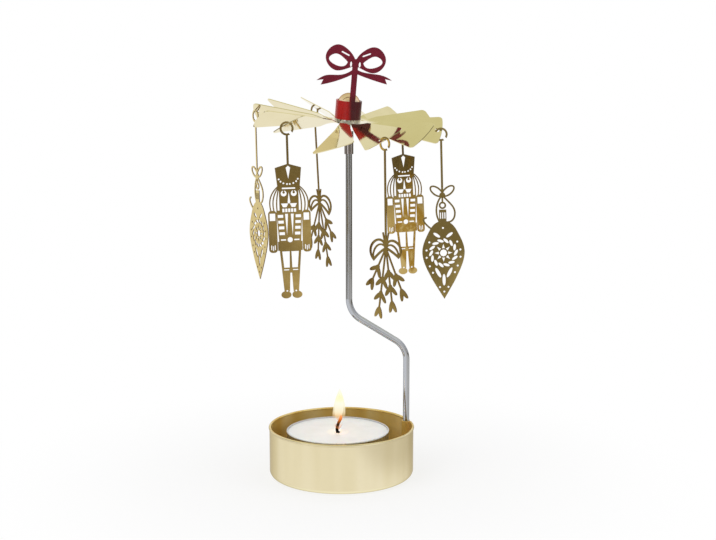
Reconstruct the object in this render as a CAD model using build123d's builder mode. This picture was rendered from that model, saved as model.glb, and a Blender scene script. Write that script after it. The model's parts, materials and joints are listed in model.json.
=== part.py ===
from build123d import *
from math import acos, atan2, cos, hypot, radians, sin, tan
import os

os.makedirs("parts", exist_ok=True)

# Base tin: a pressed round tin with a rolled rim
tin_radius = 26.2
tin_height = 18.0
tin_wall = 0.4
tin_corner = 2.0
rim_bead_radius = 0.45
strap_height = 6.0

# Tealight, a little off the middle of the tin
tealight_x = -1.3
cup_radius = 18.5
cup_height = 15.9
cup_wall = 0.3
cup_corner = 1.0
cup_lip_radius = 0.2
wax_level = 15.1
wax_meniscus = 0.35
sustainer_radius = 6.0
sustainer_plate = 0.3
sustainer_neck_height = 4.0
sustainer_neck_wall = 0.4
wick_radius = 0.75
wick_height = 6.2
wick_lean = 1.1

# Wire stand with one crank, its collar and the pivot needle
wire_radius = 1.15
wire_foot_angle = 15.0
spindle_x = 2.8
crank_low = 45.7
crank_high = 59.7
crank_bend = 9.0
wire_top = 120.0
collar_radius = 1.6
collar_overlap = 3.5
collar_top = 124.5
needle_radius = 0.6
needle_tip = 137.4
needle_point_height = 4.0
needle_point_radius = 0.12

# Rotor: it leans on the needle's point toward its heavy side
lean_angle = 7.6
lean_toward = -52.0
pivot_gap = 0.05
vane_drop = 6.0
sheet = 0.3
vane_count = 12
vane_first = -7.0
vane_radius = 33.5
vane_half_angle = 13.0
vane_twist = 31.0
vane_corner = 1.4
# Twist and droop of the vanes that were bent further by hand, by number from the first
vane_bends = {2: (31.0, 2.5), 8: (31.0, -2.0), 9: (22.0, 11.0), 10: (31.0, 2.0)}
twist_run = 5.0
disc_radius = 7.0
cap_radius = 4.0
cap_wall = 0.45
eyelet_wall = 0.45
eyelet_flange_radius = 4.6
eyelet_flange = 0.8
eyelet_clench_radius = 4.3
eyelet_clench = 0.35
eyelet_height = 3.0
band_height = 6.45
band_thickness = 0.55

# Bow on top, cut from the same strip as the band
bow_sheet = 0.5
bow_x = 1.2
bow_knot_height = 14.75
bow_stem_width = 2.0
bow_stem_overlap = 3.0
bow_loop_width = 10.4
bow_loop_rise = 6.0
bow_loop_drop = 2.8
bow_strip = 1.5
bow_tail_reach = 13.0
bow_tail_drop = 6.8
bow_tail_lift = 1.9
bow_tail_width = 1.9

# Hook ring at the top of every ornament
ring_outer = 2.35
ring_stroke = 0.7
ring_gap = 1.0
ring_gap_angle = -50.0
hook_hole_radius = 1.0
hook_edge = 0.4
hook_drop = 1.3
stem_width = 0.75

# Nutcracker figure, measured down from the peak of its hat
nut_stem = 9.35
hat_height = 8.2
hat_half_top = 4.4
hat_half_brim = 3.7
hat_peak = 1.3
face_height = 7.4
torso_height = 10.5
torso_half = 4.35
skirt_height = 3.1
arm_half_gap = 4.25
arm_width = 2.9
arm_length = 14.2
leg_height = 14.0
leg_half = 3.6
ankle_half = 2.45
foot_length = 1.7
foot_height = 1.25
knee_drop = 6.3
belt_rise = 0.55
hat_slit = 0.75
strand_width = 0.42
strand_pitch = 1.0
eye_radius = 0.98
nose_half = 0.48
moustache_half = 2.4
chest_pitch = 1.95
coat_slit = 1.0
buckle_radius = 0.88
finger_pitch = 0.6
fine_slot = 0.5
pin_dot = 0.3

# Bauble, measured down from its hook ring
bauble_string = 19.0
bauble_neck = 9.0
bauble_half_width = 7.5
bauble_height = 28.0
bauble_shoulder = 11.5
neck_half = 1.3
ribbon = 0.6
ribbon_reach = 3.1
bauble_loop = 2.75
star_radius = 3.2
star_rays = 8
ray_half = 0.5
wreath_radius = 4.4
wreath_leaves = 14
wreath_leaf = 1.15
dot_radius = 0.36
row_pitch = 2.6

# Mistletoe sprig, measured down from its hook ring
sprig_stem = 32.2
sprig_bow_width = 6.8
sprig_bow_rise = 2.6
sprig_bow_drop = 4.2
twig_width = 0.62
cut_end = 5.0
cut_spread = 14.0
# Twigs of the sprig: angle off the upright, length and pairs of leaves
twigs = ((-30.0, 12.6, 2), (-9.5, 20.6, 3), (8.0, 18.0, 3), (27.0, 15.0, 2))
leaf_pitch = 5.0
leaf_length = 4.3
leaf_width = 1.45
leaf_spread = 42.0
end_leaf_spread = 22.0
berry_radius = 0.75

# Clearances
press_fit = 0.02
seat_fit = 0.05

# The rotor's own frame: its origin is the middle of the dome's bore, right below the highest place
# of the bore, where the needle's point finds its seat; its Z is the leaning axis
cap_bore = cap_radius - cap_wall
lean = radians(lean_angle)
toward = radians(lean_toward)
rotor_axis = Vector(sin(lean) * cos(toward), sin(lean) * sin(toward), cos(lean))
rotor_frame = Plane(
    origin=(spindle_x, 0, needle_tip + pivot_gap - cap_bore),
    x_dir=(rotor_axis.Z, 0, -rotor_axis.X),
    z_dir=rotor_axis,
)
rotor_profile = Plane(origin=rotor_frame.origin, x_dir=rotor_frame.x_dir, z_dir=-rotor_frame.y_dir)
spin_axis = Axis(rotor_frame.origin, rotor_axis)

# Heights in the rotor's frame, from the vane sheet up
sheet_top = -vane_drop + sheet / 2
sheet_bottom = sheet_top - sheet
flange_top = sheet_top + eyelet_flange
band_top = flange_top + band_height
band_radius = cap_radius + press_fit + band_thickness

# Where the wire stands in the tin and which way its crank runs
foot_radius = tin_radius - tin_wall - wire_radius - seat_fit
foot_direction = Vector(cos(radians(wire_foot_angle)), sin(radians(wire_foot_angle)), 0)
foot = foot_direction * foot_radius
crank_run = foot - Vector(spindle_x, 0, 0)
crank_direction = crank_run.normalized()


def vane_directions(number):
    """Directions of a vane in space: level radius, tangent, and its own length, width and normal."""
    a = radians(vane_first + number * 360 / vane_count)
    twist, droop = (radians(v) for v in vane_bends.get(number, (vane_twist, 0)))
    radial = rotor_frame.x_dir * cos(a) + rotor_frame.y_dir * sin(a)
    tangent = rotor_frame.y_dir * cos(a) - rotor_frame.x_dir * sin(a)
    outward = radial * cos(droop) - rotor_axis * sin(droop)
    upward = radial * sin(droop) + rotor_axis * cos(droop)
    across = tangent * cos(twist) + upward * sin(twist)
    normal = upward * cos(twist) - tangent * sin(twist)
    return radial, tangent, outward, across, normal


def vane_point(number, radius):
    """Point on the middle line of a vane, at a radius measured along the vane."""
    radial, tangent, outward, across, normal = vane_directions(number)
    root = rotor_frame.origin - rotor_axis * vane_drop + radial * disc_radius
    return root + outward * (radius - disc_radius)


def flat_section(number, radius):
    """Plane that cuts the level disc under a vane's root: X runs across the vane."""
    radial, tangent, outward, across, normal = vane_directions(number)
    centre = rotor_frame.origin - rotor_axis * vane_drop + radial * radius
    return Plane(origin=centre, x_dir=tangent, z_dir=radial)


def turned_section(number, radius):
    """Plane that cuts a twisted vane across at a radius: X runs across the vane."""
    radial, tangent, outward, across, normal = vane_directions(number)
    return Plane(origin=vane_point(number, radius), x_dir=across, z_dir=outward)


def blade_plane(number):
    """Plane in the middle of a vane's sheet: X runs out along the vane from the edge of the disc."""
    radial, tangent, outward, across, normal = vane_directions(number)
    return Plane(origin=vane_point(number, disc_radius), x_dir=outward, z_dir=normal)


def hook_point(number):
    """Middle of the narrow web that a hook ring hangs on, at the tip of a vane."""
    return vane_point(number, vane_radius - hook_edge)


def hang_plane(number, turn, aslant=0):
    """Upright plane of a hanging ornament, with its origin at the middle of the hook ring."""
    t = radians(turn)
    s = radians(aslant)
    centre = hook_point(number) - Vector(0, 0, hook_drop)
    sideways = (cos(t) * cos(s), sin(t) * cos(s), sin(s))
    return Plane(origin=centre, x_dir=sideways, z_dir=(sin(t), -cos(t), 0))


def hook_hole_plane(number, turn):
    """Plane on a vane's sheet where the inner side of the hook ring goes through it."""
    radial, tangent, outward, across, normal = vane_directions(number)
    hang = hang_plane(number, turn)
    ring_middle = ring_outer - ring_stroke / 2
    level_share = normal.dot(hang.x_dir)
    rise_share = normal.Z
    middle_angle = atan2(rise_share, level_share)
    half_angle = acos(hook_drop * rise_share / (ring_middle * hypot(level_share, rise_share)))
    crossings = [
        hang.from_local_coords((ring_middle * cos(a), ring_middle * sin(a), 0))
        for a in (middle_angle - half_angle, middle_angle + half_angle)
    ]
    inner = min(crossings, key=lambda p: p.dot(outward))
    return Plane(origin=inner, x_dir=outward, z_dir=normal)


def hook_ring(stem_length):
    """Open ring with its stem below, in the sketch at hand."""
    Circle(ring_outer)
    Circle(ring_outer - ring_stroke, mode=Mode.SUBTRACT)
    gap = radians(ring_gap_angle)
    ring_middle = ring_outer - ring_stroke / 2
    with Locations((ring_middle * cos(gap), ring_middle * sin(gap))):
        Rectangle(2 * ring_stroke, ring_gap, rotation=ring_gap_angle, mode=Mode.SUBTRACT)
    with Locations((0, -ring_outer + ring_stroke / 2)):
        Rectangle(stem_width, stem_length + ring_stroke, align=(Align.CENTER, Align.MAX))


def stroke(x, y, angle, length):
    """Straight twig from a point in the given direction, in the sketch at hand."""
    middle = length / 2
    with Locations((x + middle * cos(radians(angle)), y + middle * sin(radians(angle)))):
        Rectangle(length + twig_width, twig_width, rotation=angle)


def leaf(x, y, angle):
    """Blunt leaf that grows from a point in the given direction, in the sketch at hand."""
    reach = leaf_length / 2 - twig_width / 2
    with Locations((x + reach * cos(radians(angle)), y + reach * sin(radians(angle)))):
        Ellipse(leaf_length / 2, leaf_width / 2, rotation=angle)


def leafy_twig(x, y, angle, length, pairs):
    """Twig with its leaves in pairs from the tip upward and a berry at each, in the sketch at hand."""
    stroke(x, y, angle, length)
    for pair in range(pairs):
        station = length - pair * leaf_pitch
        place = (x + station * cos(radians(angle)), y + station * sin(radians(angle)))
        spread = leaf_spread if pair else end_leaf_spread
        leaf(*place, angle - spread)
        leaf(*place, angle + spread)
        if pair:
            with Locations(place):
                Circle(berry_radius)


# Hooks: vane number, turn of the hanging sheet and how far it hangs aslant in its own plane,
# two of each ornament on every second vane
bauble_hooks = {"bauble_1": (0, 0.0, 1.8), "bauble_2": (6, -60.0, 2.5)}
nutcracker_hooks = {"nutcracker_1": (2, 8.0, 2.8), "nutcracker_2": (8, 8.0, 1.4)}
mistletoe_hooks = {"mistletoe_1": (4, 127.0, -5.0), "mistletoe_2": (10, -45.0, 1.1)}
hooks = [*bauble_hooks.values(), *nutcracker_hooks.values(), *mistletoe_hooks.values()]

# Base tin: drawn cup, rolled rim, and a strip of the wall pushed inward to hold the wire
pocket_radius = wire_radius + seat_fit
strap_radius = pocket_radius + tin_wall
strap_leg = tin_radius - tin_wall / 2 - foot_radius
pocket_mouth = 2 * (tin_radius + rim_bead_radius - foot_radius)
strap_plane = Plane(
    origin=(foot.X, foot.Y, tin_height - strap_height),
    x_dir=foot_direction,
    z_dir=(0, 0, 1),
)
with BuildPart() as base_tin:
    Cylinder(tin_radius, tin_height, align=(Align.CENTER, Align.CENTER, Align.MIN))
    fillet(base_tin.edges().group_by(Axis.Z)[0], tin_corner)
    offset(amount=-tin_wall, openings=base_tin.faces().sort_by(Axis.Z)[-1])
    with BuildSketch(Plane.XZ):
        with Locations((tin_radius - tin_wall / 2, tin_height - rim_bead_radius)):
            Circle(rim_bead_radius)
    revolve(axis=Axis.Z)
    with BuildSketch(strap_plane):
        Circle(strap_radius)
        with Locations((strap_leg / 2, 0)):
            Rectangle(strap_leg, 2 * strap_radius)
    extrude(amount=strap_height)
    with BuildSketch(strap_plane):
        Circle(pocket_radius)
        with Locations((pocket_mouth / 2, 0)):
            Rectangle(pocket_mouth, 2 * pocket_radius)
    extrude(amount=strap_height, mode=Mode.SUBTRACT)
base_tin.part.label = "base_tin"
export_step(base_tin.part, "parts/base_tin.step")

# Tealight cup: thin drawn cup with a rolled lip, on the floor of the tin
cup_origin = Vector(tealight_x, 0, tin_wall)
cup_profile = Plane(origin=cup_origin, x_dir=(1, 0, 0), z_dir=(0, -1, 0))
cup_axis = Axis(cup_origin, (0, 0, 1))
with BuildPart() as tealight_cup:
    with BuildSketch(Plane(origin=cup_origin)):
        Circle(cup_radius)
    extrude(amount=cup_height)
    fillet(tealight_cup.edges().group_by(Axis.Z)[0], cup_corner)
    offset(amount=-cup_wall, openings=tealight_cup.faces().sort_by(Axis.Z)[-1])
    with BuildSketch(cup_profile):
        with Locations((cup_radius, cup_height - cup_lip_radius)):
            Circle(cup_lip_radius)
    revolve(axis=cup_axis)
tealight_cup.part.label = "tealight_cup"
export_step(tealight_cup.part, "parts/tealight_cup.step")

# Wick sustainer: foot plate on the floor of the cup, with a neck that grips the wick
neck_radius = wick_radius + press_fit + sustainer_neck_wall
with BuildPart() as wick_sustainer:
    with BuildSketch(cup_profile):
        with BuildLine():
            Polyline(
                (wick_radius + press_fit, cup_wall),
                (sustainer_radius, cup_wall),
                (sustainer_radius, cup_wall + sustainer_plate),
                (neck_radius, cup_wall + sustainer_plate),
                (neck_radius, cup_wall + sustainer_neck_height),
                (wick_radius + press_fit, cup_wall + sustainer_neck_height),
                close=True,
            )
        make_face()
    revolve(axis=cup_axis)
wick_sustainer.part.label = "wick_sustainer"
export_step(wick_sustainer.part, "parts/wick_sustainer.step")

# Wax: fills the cup round the sustainer and the wick, with a raised edge and a melted hollow
wax_radius = cup_radius - cup_wall - seat_fit
with BuildPart() as tealight_wax:
    with BuildSketch(cup_profile):
        with BuildLine():
            Polyline(
                (wick_radius + press_fit, wax_level - wax_meniscus),
                (wick_radius + press_fit, cup_wall + sustainer_neck_height + press_fit),
                (neck_radius + press_fit, cup_wall + sustainer_neck_height + press_fit),
                (neck_radius + press_fit, cup_wall + sustainer_plate + press_fit),
                (wax_radius - cup_corner, cup_wall + sustainer_plate + press_fit),
                (wax_radius, cup_wall + sustainer_plate + cup_corner),
                (wax_radius, wax_level + wax_meniscus),
            )
            Spline(
                (wax_radius, wax_level + wax_meniscus),
                (wax_radius * 0.9, wax_level),
                (wax_radius * 0.4, wax_level - wax_meniscus / 4),
                (wick_radius + press_fit, wax_level - wax_meniscus),
            )
        make_face()
    revolve(axis=cup_axis)
tealight_wax.part.label = "tealight_wax"
export_step(tealight_wax.part, "parts/tealight_wax.step")

# Wick: straight through the wax, bent over above it
with BuildPart() as wick:
    with BuildLine(cup_profile):
        Line((0, cup_wall), (0, wax_level))
        Spline(
            (0, wax_level),
            (wick_lean * 0.3, wax_level + wick_height * 0.55),
            (wick_lean, wax_level + wick_height),
            tangents=((0, 1), (wick_lean, wick_height / 2)),
        )
    with BuildSketch(Plane(origin=cup_origin + Vector(0, 0, cup_wall))):
        Circle(wick_radius)
    sweep()
wick.part.label = "wick"
export_step(wick.part, "parts/wick.step")

# Wire stand: foot down to the round of the tin's corner, one crank to the middle, upright above it
crank_plane = Plane(
    origin=(spindle_x, 0, 0),
    x_dir=crank_direction,
    z_dir=(crank_direction.Y, -crank_direction.X, 0),
)
with BuildPart() as wire_stand:
    with BuildLine(crank_plane):
        FilletPolyline(
            (crank_run.length, tin_corner),
            (crank_run.length, crank_low),
            (0, crank_high),
            (0, wire_top),
            radius=crank_bend,
        )
    with BuildSketch(Plane(origin=foot + Vector(0, 0, tin_corner))):
        Circle(wire_radius)
    sweep()
wire_stand.part.label = "wire_stand"
export_step(wire_stand.part, "parts/wire_stand.step")

# Collar: sleeve pressed on the top of the wire, necked to hold the needle
spindle_profile = Plane(origin=(spindle_x, 0, 0), x_dir=(1, 0, 0), z_dir=(0, -1, 0))
spindle_axis = Axis((spindle_x, 0, 0), (0, 0, 1))
with BuildPart() as collar:
    with BuildSketch(spindle_profile):
        with BuildLine():
            Polyline(
                (wire_radius + press_fit, wire_top - collar_overlap),
                (collar_radius, wire_top - collar_overlap),
                (collar_radius, collar_top),
                (needle_radius + press_fit, collar_top),
                (needle_radius + press_fit, wire_top),
                (wire_radius + press_fit, wire_top),
                close=True,
            )
        make_face()
    revolve(axis=spindle_axis)
collar.part.label = "collar"
export_step(collar.part, "parts/collar.step")

# Pivot needle: stands on the top of the wire, its point carries the rotor
with BuildPart() as pivot_needle:
    with BuildSketch(spindle_profile):
        with BuildLine():
            Polyline(
                (0, wire_top),
                (needle_radius, wire_top),
                (needle_radius, needle_tip - needle_point_height),
                (needle_point_radius, needle_tip),
                (0, needle_tip),
                close=True,
            )
        make_face()
    revolve(axis=spindle_axis)
pivot_needle.part.label = "pivot_needle"
export_step(pivot_needle.part, "parts/pivot_needle.step")

# Vane wheel: one sheet slit into vanes, each turned about its own length
vane_slope = 2 * tan(radians(vane_half_angle))
vane_root = disc_radius - 2 * sheet
vane_turned = disc_radius + twist_run
blade_start = twist_run
blade_half_start = vane_turned * vane_slope / 2
blade_end = vane_radius * cos(radians(vane_half_angle)) - disc_radius
blade_half_end = vane_radius * sin(radians(vane_half_angle))
blade_tip = vane_radius - disc_radius
with BuildPart() as vane_wheel:
    with BuildSketch(rotor_frame.offset(-vane_drop - sheet / 2)):
        Circle(disc_radius)
    extrude(amount=sheet)
    for number in range(vane_count):
        with BuildSketch(flat_section(number, vane_root)):
            Rectangle(vane_root * vane_slope, sheet)
        with BuildSketch(flat_section(number, disc_radius)):
            Rectangle(disc_radius * vane_slope, sheet)
        with BuildSketch(turned_section(number, vane_turned)):
            Rectangle(vane_turned * vane_slope, sheet)
        loft(ruled=True)
        with BuildSketch(blade_plane(number)) as blade:
            with BuildLine():
                Polyline(
                    (blade_end, -blade_half_end),
                    (blade_start, -blade_half_start),
                    (blade_start, blade_half_start),
                    (blade_end, blade_half_end),
                )
                ThreePointArc((blade_end, blade_half_end), (blade_tip, 0), (blade_end, -blade_half_end))
            make_face()
            fillet(blade.vertices().sort_by(Axis.X)[-2:], vane_corner)
        extrude(amount=sheet / 2, both=True)
    with BuildSketch(rotor_frame.offset(-vane_drop - sheet)):
        Circle(cap_bore)
    extrude(amount=2 * sheet, mode=Mode.SUBTRACT)
    for number, turn, aslant in hooks:
        with Locations(hook_hole_plane(number, turn)):
            Cylinder(hook_hole_radius, 4 * sheet, mode=Mode.SUBTRACT)
vane_wheel.part.label = "vane_wheel"
export_step(vane_wheel.part, "parts/vane_wheel.step")

# Hub cap: thimble with a domed top; the needle's point stands under its dome
with BuildPart() as hub_cap:
    with BuildSketch(rotor_profile):
        with BuildLine():
            Line((0, cap_bore), (0, cap_radius))
            CenterArc((0, 0), cap_radius, 0, 90)
            Polyline((cap_radius, 0), (cap_radius, flange_top), (cap_bore, flange_top), (cap_bore, 0))
            CenterArc((0, 0), cap_bore, 0, 90)
        make_face()
    revolve(axis=spin_axis)
hub_cap.part.label = "hub_cap"
export_step(hub_cap.part, "parts/hub_cap.step")

# Hub eyelet: its barrel fills the cap from below, its flange rests on the wheel, clenched underneath
eyelet_radius = cap_bore - press_fit
eyelet_bore = eyelet_radius - eyelet_wall
with BuildPart() as hub_eyelet:
    with BuildSketch(rotor_profile):
        with BuildLine():
            Polyline(
                (eyelet_bore, sheet_bottom - eyelet_clench),
                (eyelet_clench_radius, sheet_bottom - eyelet_clench),
                (eyelet_clench_radius, sheet_bottom),
                (eyelet_radius, sheet_bottom),
                (eyelet_radius, sheet_top),
                (eyelet_flange_radius, sheet_top),
                (eyelet_flange_radius, flange_top),
                (eyelet_radius, flange_top),
                (eyelet_radius, flange_top + eyelet_height),
                (eyelet_bore, flange_top + eyelet_height),
                close=True,
            )
        make_face()
    revolve(axis=spin_axis)
hub_eyelet.part.label = "hub_eyelet"
export_step(hub_eyelet.part, "parts/hub_eyelet.step")

# Bow finial: the strip wraps the hub cap as a band, its stem rises in front to a flat bow
bow_plane = Plane(
    origin=rotor_frame.from_local_coords((bow_x, -band_radius + bow_sheet, bow_knot_height)),
    x_dir=rotor_frame.x_dir,
    z_dir=-rotor_frame.y_dir,
)
bow_stem_length = bow_knot_height - band_top + bow_stem_overlap
loop_middle = bow_loop_width * 0.55
with BuildPart() as bow_finial:
    with BuildSketch(rotor_frame.offset(flange_top)):
        Circle(band_radius)
        Circle(cap_radius + press_fit, mode=Mode.SUBTRACT)
    extrude(amount=band_height)
    with BuildSketch(bow_plane):
        with BuildLine():
            Spline(
                (0, bow_strip / 2),
                (loop_middle * 0.55, bow_loop_rise * 0.8),
                (loop_middle * 1.15, bow_loop_rise),
                (bow_loop_width, bow_loop_rise * 0.3),
                (loop_middle * 1.2, -bow_loop_drop),
                (loop_middle * 0.5, -bow_loop_drop * 0.72),
                (0, -bow_strip / 2),
            )
            Line((0, -bow_strip / 2), (0, bow_strip / 2))
        make_face()
        with BuildLine():
            hole_tip = (bow_strip * 1.8, bow_loop_rise * 0.05)
            Spline(
                hole_tip,
                (bow_loop_width * 0.44, bow_loop_rise * 0.32),
                (bow_loop_width * 0.68, bow_loop_rise * 0.47),
                (bow_loop_width - bow_strip * 0.8, bow_loop_rise * 0.2),
                (bow_loop_width * 0.66, bow_strip * 1.2 - bow_loop_drop),
                hole_tip,
            )
        make_face(mode=Mode.SUBTRACT)
        with Locations((bow_loop_width * 0.35, bow_loop_rise * 0.52)):
            SlotOverall(bow_strip * 2, bow_strip * 0.33, rotation=24, mode=Mode.SUBTRACT)
        mirror(about=Plane.YZ)
        for side, drop in ((-1, bow_tail_drop), (1, bow_tail_drop - bow_tail_lift)):
            reach = side * bow_tail_reach
            fork_low = (reach * 0.88, -drop - bow_tail_width * 0.75)
            with BuildLine():
                Spline(
                    (0, -bow_strip),
                    (reach * 0.35, -drop * 0.62),
                    (reach * 0.8, -drop * 0.74),
                    (reach, -drop),
                    tangents=((side, -1), (side, -0.8)),
                )
                Polyline((reach, -drop), (reach * 0.82, -drop * 0.93), fork_low)
                tail_middle = (reach * 0.4, -drop * 0.62 - bow_tail_width)
                Spline(fork_low, tail_middle, (0, -bow_strip - bow_tail_width))
                Line((0, -bow_strip - bow_tail_width), (0, -bow_strip))
            make_face()
        Circle(bow_strip)
        with Locations((-bow_strip, -bow_strip / 4), (bow_strip, -bow_strip / 4)):
            Ellipse(bow_strip * 0.22, bow_strip * 0.6, mode=Mode.SUBTRACT)
        Rectangle(bow_stem_width, bow_stem_length, align=(Align.CENTER, Align.MAX))
    extrude(amount=bow_sheet)
bow_finial.part.label = "bow_finial"
export_step(bow_finial.part, "parts/bow_finial.step")

# Levels of the nutcracker figure, down from its hook ring
hat_top = -ring_outer - nut_stem
brow = hat_top - hat_height
chin = brow - face_height
waist = chin - torso_height
hem = waist - skirt_height
knee = hem - knee_drop
ankle = hem - leg_height
belt = waist + belt_rise
arm_middle = arm_half_gap + arm_width / 2
face_half = hat_half_brim * 0.88
eye_x = face_half * 0.52
eye_y = brow - 0.23 * face_height
mouth = chin + 0.23 * face_height
hat_dot_places = [
    (hat_half_brim * 0.9 * cos(radians(a)), hat_top - hat_height * (0.55 - 0.28 * sin(radians(a))))
    for a in (-82, -60, -38, -16)
]
chest_slot_places = [(torso_half * (0.72 - 0.03 * k), chin - chest_pitch * k) for k in (1, 2, 3, 4)]
finger_top = chin - arm_length + 0.6 * arm_width
finger_places = [
    (arm_middle - finger_pitch, finger_top),
    (arm_middle, finger_top - finger_pitch / 2),
    (arm_middle + finger_pitch, finger_top),
]
tooth_places = [(face_half * 0.3 * k, chin) for k in (0, 1, 2)]
strand_places = [(arm_half_gap + strand_pitch * (k - 0.4), k) for k in (0, 1, 2)]

# Nutcracker ornaments: one half is drawn, pierced and mirrored
for name, hook in nutcracker_hooks.items():
    with BuildPart() as nutcracker:
        with BuildSketch(hang_plane(*hook)):
            # Hat, head, hair, jacket, skirt, arm, leg and foot
            hat_corner = (hat_half_top, hat_top - hat_peak)
            Polygon((0, hat_top), hat_corner, (hat_half_brim, brow), (0, brow), align=None)
            with Locations((0, brow)):
                Rectangle(face_half, face_height, align=(Align.MIN, Align.MAX))
            for strand_x, k in strand_places:
                with BuildLine():
                    Spline(
                        (hat_half_brim * 0.9, brow + strand_width * k),
                        (strand_x, brow - 0.3 * face_height),
                        (strand_x + strand_width / 2, chin - strand_width),
                    )
                trace(line_width=strand_width)
            Polygon((0, chin), (torso_half, chin), (torso_half * 0.85, waist), (0, waist), align=None)
            with Locations((0, waist)):
                Rectangle(torso_half * 0.95, skirt_height, align=(Align.MIN, Align.MAX))
            with Locations((arm_middle, chin - arm_length / 2)):
                RectangleRounded(arm_width, arm_length, arm_width * 0.4)
            boot_top = knee - foot_height
            boot_inner = [(ankle_half * 0.25, ankle), (ankle_half * 0.12, boot_top), (0, boot_top)]
            Polygon((0, hem), (leg_half, hem), (ankle_half, ankle), *boot_inner, align=None)
            with Locations((foot_length * 1.1, ankle - foot_height * 0.85)):
                Ellipse(foot_length, foot_height)
            # Slit and dots of the hat, and its peak line
            slit_end = (0, brow + 0.38 * hat_height)
            slit = [(0, hat_top - hat_peak / 2), (hat_slit, hat_top - hat_peak), slit_end]
            Polygon(*slit, align=None, mode=Mode.SUBTRACT)
            with Locations(*hat_dot_places):
                Circle(pin_dot, mode=Mode.SUBTRACT)
            with Locations((0, brow)):
                cap_line = (Align.MIN, Align.CENTER)
                Rectangle(hat_half_brim * 0.6, fine_slot, align=cap_line, mode=Mode.SUBTRACT)
            # Eye with its pupil hanging from the lid, nose, mouth and teeth
            with Locations((eye_x, eye_y)):
                Circle(eye_radius, mode=Mode.SUBTRACT)
            with Locations((eye_x, eye_y + eye_radius * 0.35)):
                Circle(eye_radius * 0.42)
                Rectangle(eye_radius * 0.4, eye_radius, align=(Align.CENTER, Align.MIN))
            nose = [(0, eye_y + eye_radius / 2), (nose_half, mouth + 2 * nose_half), (0, mouth + nose_half)]
            Polygon(*nose, align=None, mode=Mode.SUBTRACT)
            with Locations((face_half * 0.45, mouth)):
                Trapezoid(moustache_half, fine_slot * 2.6, 65, rotation=180, mode=Mode.SUBTRACT)
            with Locations(*tooth_places):
                Rectangle(face_half * 0.22, fine_slot * 2.4, mode=Mode.SUBTRACT)
            # Epaulette, chest braid, coat opening, belt, fingers, trouser leg, knee and ankle
            with Locations((arm_middle, chin - arm_width * 0.75)):
                Rectangle(arm_width * 0.65, arm_width * 0.85, mode=Mode.SUBTRACT)
            with Locations(*chest_slot_places):
                Rectangle(torso_half * 0.42, fine_slot * 2, mode=Mode.SUBTRACT)
            with Locations((torso_half * 0.22, chin - chest_pitch * 0.6)):
                Triangle(
                    a=coat_slit,
                    b=torso_height * 0.7,
                    c=torso_height * 0.7,
                    rotation=180,
                    align=(Align.CENTER, Align.MIN),
                    mode=Mode.SUBTRACT,
                )
            with Locations((0, belt)):
                Circle(buckle_radius, mode=Mode.SUBTRACT)
            with Locations((torso_half * 0.52, belt)):
                Rectangle(torso_half * 0.4, fine_slot, mode=Mode.SUBTRACT)
            with Locations(*finger_places):
                Rectangle(finger_pitch / 2, arm_width * 0.55, mode=Mode.SUBTRACT)
            window_top = hem - fine_slot / 2
            window_low = knee + fine_slot
            window_outer = [(leg_half * 0.78, window_top), (leg_half * 0.64, window_low)]
            window_inner = [(leg_half * 0.12, window_low), (leg_half * 0.08, window_top)]
            Polygon(*window_outer, *window_inner, align=None, mode=Mode.SUBTRACT)
            with Locations((leg_half * 0.42, knee - fine_slot / 2)):
                SlotOverall(leg_half * 0.5, fine_slot * 0.75, mode=Mode.SUBTRACT)
            with Locations((ankle_half * 0.62, ankle + fine_slot / 2)):
                Circle(pin_dot, mode=Mode.SUBTRACT)
            mirror(about=Plane.YZ)
            hook_ring(nut_stem)
        extrude(amount=sheet / 2, both=True)
    nutcracker.part.label = name
    export_step(nutcracker.part, f"parts/{name}.step")

# Levels of the bauble, down from its hook ring
bauble_knot = -ring_outer - bauble_string
bauble_top = bauble_knot - bauble_neck
bauble_tip = bauble_top - bauble_height
bauble_middle = bauble_top - bauble_shoulder
hanger = bauble_top + 0.6 * bauble_neck
fan = bauble_middle - 1.6 * wreath_radius
dot_places = [
    (0.8 * bauble_half_width, bauble_middle + 0.4 * row_pitch),
    (0.8 * bauble_half_width, bauble_middle - 0.6 * row_pitch),
    (0.66 * bauble_half_width, bauble_middle - 1.8 * row_pitch),
    (0.66 * bauble_half_width, bauble_middle + 1.5 * row_pitch),
    (0.52 * bauble_half_width, bauble_middle - 2.7 * row_pitch),
    (0.2 * bauble_half_width, fan - 2 * row_pitch),
]

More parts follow.
